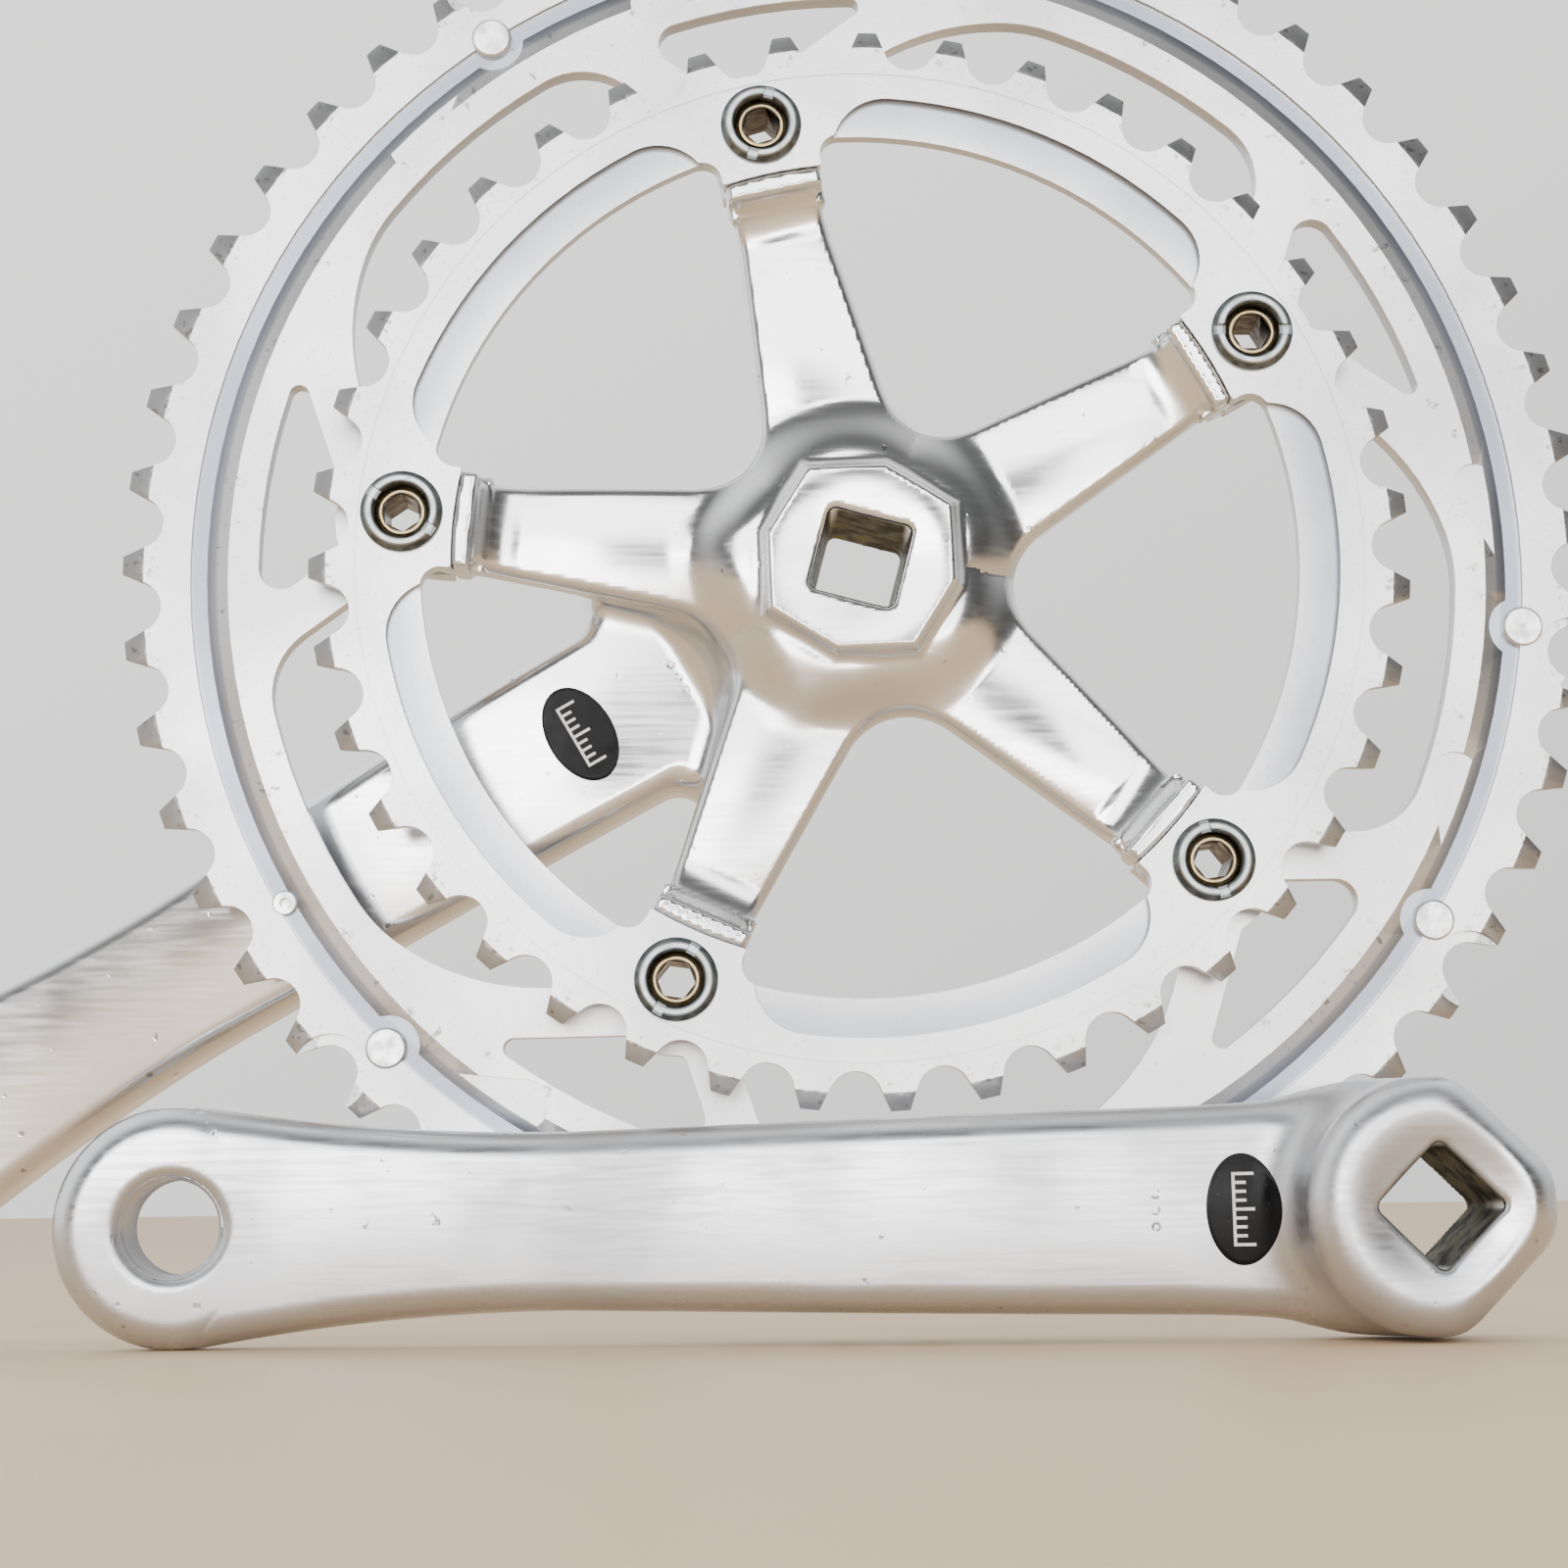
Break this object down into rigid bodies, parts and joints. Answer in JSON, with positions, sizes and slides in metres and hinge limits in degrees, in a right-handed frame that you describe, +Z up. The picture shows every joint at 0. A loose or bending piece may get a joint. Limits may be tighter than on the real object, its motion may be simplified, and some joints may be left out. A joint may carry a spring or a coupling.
{
  "type": "bicycle crankset",
  "caption": "Bicycle crankset: right arm with a spider, toothed outer and inner rings held by chainring bolts, shift pins, and a loose left arm, both with square spindle sockets",
  "frame": {"origin": "on the crank axis, at the back face of the right arm's boss", "axes": "+Y runs along the crank axis from the boss's back face towards the outer face; +Z is up and +X is to the right as the part is displayed with its back shown; the right arm points 30 degrees below -X"},
  "size_m": [0.2753, 0.0628, 0.2219],
  "materials": {
    "arm_aluminium": "polished, worn",
    "ring_aluminium": "satin, bead blasted",
    "zinc_steel": "dull zinc plate",
    "brass_bolt": "tarnished plate",
    "pin_steel": "bright plated",
    "label_black": "printed film"
  },
  "bodies": {
    "right_crank": {"right_crank_arm": "arm_aluminium", "outer_chainring": "ring_aluminium", "inner_chainring": "ring_aluminium", "chainring_nut_1": "zinc_steel", "chainring_nut_2": "zinc_steel", "chainring_nut_3": "zinc_steel", "chainring_nut_4": "zinc_steel", "chainring_nut_5": "zinc_steel", "chainring_bolt_1": "brass_bolt", "chainring_bolt_2": "brass_bolt", "chainring_bolt_3": "brass_bolt", "chainring_bolt_4": "brass_bolt", "chainring_bolt_5": "brass_bolt", "shift_pin_1": "pin_steel", "shift_pin_2": "pin_steel", "shift_pin_3": "pin_steel", "shift_pin_4": "pin_steel", "chain_drop_pin": "pin_steel", "right_size_label": "label_black"},
    "left_crank": {"left_crank_arm": "arm_aluminium", "left_size_label": "label_black"}
  },
  "joints": [
    {"name": "left_arm_lift", "type": "slide", "parent": "right_crank", "child": "left_crank", "axis": [0, -1, 0], "range_m": [0, 0.12]}
  ]
}
